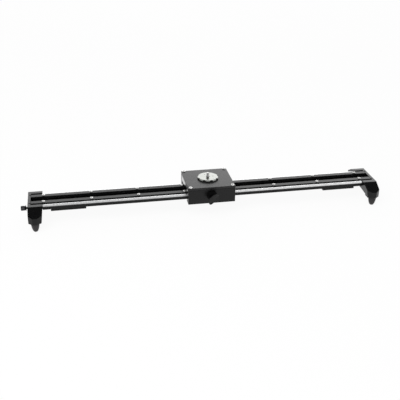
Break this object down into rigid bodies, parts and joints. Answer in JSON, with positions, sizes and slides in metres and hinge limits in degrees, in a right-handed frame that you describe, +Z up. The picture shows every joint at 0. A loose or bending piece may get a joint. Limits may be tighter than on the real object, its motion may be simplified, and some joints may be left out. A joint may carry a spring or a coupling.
{
  "type": "camera slider",
  "caption": "Twin-rod camera slider: a rail on four screw feet carries a sliding carriage with a scalloped camera disc and a wing-knob brake.",
  "frame": {"origin": "on the floor, under the middle of the whole slider's box", "axes": "+X along the rail towards the end without a thumb knob, +Y away from the brake knob, +Z up"},
  "size_m": [0.7788, 0.138, 0.0818],
  "materials": {
    "black_anodised": "black anodised, semi-gloss",
    "satin_strip": "black anodised, satin",
    "chrome": "polished hard chrome",
    "bright_steel": "bright turned",
    "dark_steel": "black oxide",
    "rubber": "matt moulded",
    "bearing_plastic": "machined acetal",
    "knob_plastic": "fine moulded grain"
  },
  "bodies": {
    "rail": {"rail_extrusion": "black_anodised", "front_clamp_strip": "satin_strip", "rear_clamp_strip": "satin_strip", "front_guide_rod": "chrome", "rear_guide_rod": "chrome", "front_strip_screw_1": "bright_steel", "front_strip_screw_2": "bright_steel", "front_strip_screw_3": "bright_steel", "front_strip_screw_4": "bright_steel", "front_strip_screw_5": "bright_steel", "front_strip_screw_6": "bright_steel", "front_strip_screw_7": "bright_steel", "front_strip_screw_8": "bright_steel", "rear_strip_screw_1": "bright_steel", "rear_strip_screw_2": "bright_steel", "rear_strip_screw_3": "bright_steel", "rear_strip_screw_4": "bright_steel", "rear_strip_screw_5": "bright_steel", "rear_strip_screw_6": "bright_steel", "rear_strip_screw_7": "bright_steel", "rear_strip_screw_8": "bright_steel", "left_end_bracket": "black_anodised", "right_end_bracket": "black_anodised", "left_front_grub_screw": "dark_steel", "left_rear_grub_screw": "dark_steel", "right_front_grub_screw": "dark_steel", "right_rear_grub_screw": "dark_steel", "left_rear_rod_bolt": "dark_steel", "right_front_rod_bolt": "dark_steel", "right_rear_rod_bolt": "dark_steel", "left_tripod_plate": "black_anodised", "right_tripod_plate": "black_anodised", "left_plate_screw_1": "dark_steel", "left_plate_screw_2": "dark_steel", "right_plate_screw_1": "dark_steel", "right_plate_screw_2": "dark_steel"},
    "carriage": {"carriage_front_wall": "black_anodised", "carriage_rear_wall": "black_anodised", "carriage_left_end_plate": "black_anodised", "carriage_right_end_plate": "black_anodised", "carriage_deck": "black_anodised", "left_front_deck_screw": "bright_steel", "right_front_deck_screw": "bright_steel", "left_rear_deck_screw": "bright_steel", "right_rear_deck_screw": "bright_steel", "left_front_bearing_block": "bearing_plastic", "right_front_bearing_block": "bearing_plastic", "left_rear_bearing_block": "bearing_plastic", "right_rear_bearing_block": "bearing_plastic", "camera_screw": "bright_steel"},
    "camera_disc_body": {"camera_disc": "chrome"},
    "brake_knob_body": {"brake_knob": "knob_plastic", "brake_screw": "dark_steel"},
    "brake_shoe_body": {"brake_shoe": "bearing_plastic"},
    "end_knob_body": {"end_knob": "dark_steel"},
    "left_front_foot_body": {"left_front_foot": "rubber"},
    "left_rear_foot_body": {"left_rear_foot": "rubber"},
    "right_front_foot_body": {"right_front_foot": "rubber"},
    "right_rear_foot_body": {"right_rear_foot": "rubber"}
  },
  "joints": [
    {"name": "carriage_slide", "type": "slide", "parent": "rail", "child": "carriage", "axis": [1, 0, 0], "range_m": [-0.30375, 0.29625]},
    {"name": "camera_disc_turn", "type": "hinge", "parent": "carriage", "child": "camera_disc_body", "pos_m": [0.01065, 0.00455, 0.0686], "axis": [0, 0, 1], "continuous": true},
    {"name": "brake_turn", "type": "hinge", "parent": "carriage", "child": "brake_knob_body", "pos_m": [0.01065, -0.04325, 0.0494], "axis": [0, 1, 0], "range_deg": [0, 180]},
    {"name": "brake_shoe_press", "type": "slide", "parent": "carriage", "child": "brake_shoe_body", "axis": [0, 1, 0], "range_m": [0, 0.0005]},
    {"name": "end_knob_turn", "type": "hinge", "parent": "rail", "child": "end_knob_body", "pos_m": [-0.3756, -0.02175, 0.0417], "axis": [1, 0, 0], "continuous": true},
    {"name": "left_front_foot_screw", "type": "slide", "parent": "rail", "child": "left_front_foot_body", "axis": [0, 0, -1], "range_m": [0, 0.008]},
    {"name": "left_rear_foot_screw", "type": "slide", "parent": "rail", "child": "left_rear_foot_body", "axis": [0, 0, -1], "range_m": [0, 0.008]},
    {"name": "right_front_foot_screw", "type": "slide", "parent": "rail", "child": "right_front_foot_body", "axis": [0, 0, -1], "range_m": [0, 0.008]},
    {"name": "right_rear_foot_screw", "type": "slide", "parent": "rail", "child": "right_rear_foot_body", "axis": [0, 0, -1], "range_m": [0, 0.008]}
  ],
  "couplings": [
    {"joint": "brake_turn", "follows": "brake_shoe_press", "rad_per_m": 6283.2}
  ]
}
